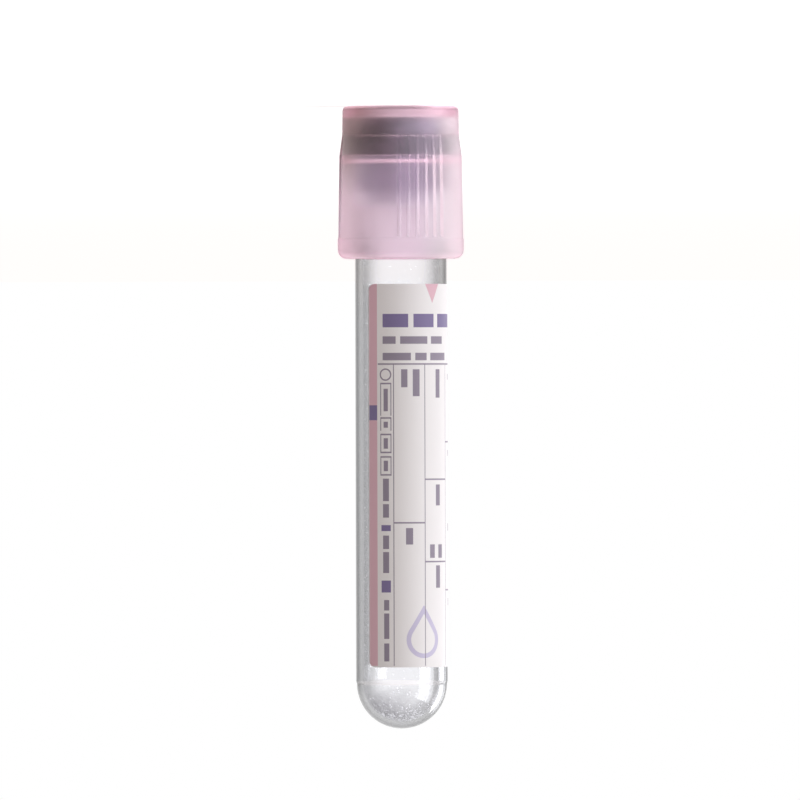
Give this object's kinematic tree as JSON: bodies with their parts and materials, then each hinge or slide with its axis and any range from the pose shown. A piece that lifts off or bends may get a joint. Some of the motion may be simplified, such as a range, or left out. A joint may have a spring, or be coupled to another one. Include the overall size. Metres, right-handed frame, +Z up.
{
  "type": "blood collection tube",
  "caption": "Clear round-bottomed sample tube with a wrap-around label, closed by a pink see-through cap over a rubber stopper that pulls off.",
  "frame": {"origin": "on the ground, in the middle of the closure's top, on which the closed tube stands", "axes": "+Z up, along the tube's axis from the closure to the round bottom; the printed side of the label faces -Y"},
  "size_m": [0.0166, 0.0166, 0.0815],
  "materials": {
    "clear_plastic": "gloss",
    "stopper_rubber": "matte",
    "pink_plastic": "satin",
    "label_film": "satin",
    "additive": "satin"
  },
  "bodies": {
    "closure": {"shield": "pink_plastic", "stopper": "stopper_rubber"},
    "tube_body": {"tube": "clear_plastic", "label": "label_film", "dried_additive": "additive"}
  },
  "joints": [
    {"name": "closure_pull", "type": "slide", "parent": "closure", "child": "tube_body", "axis": [0, 0, 1], "range_m": [0, 0.025]}
  ]
}
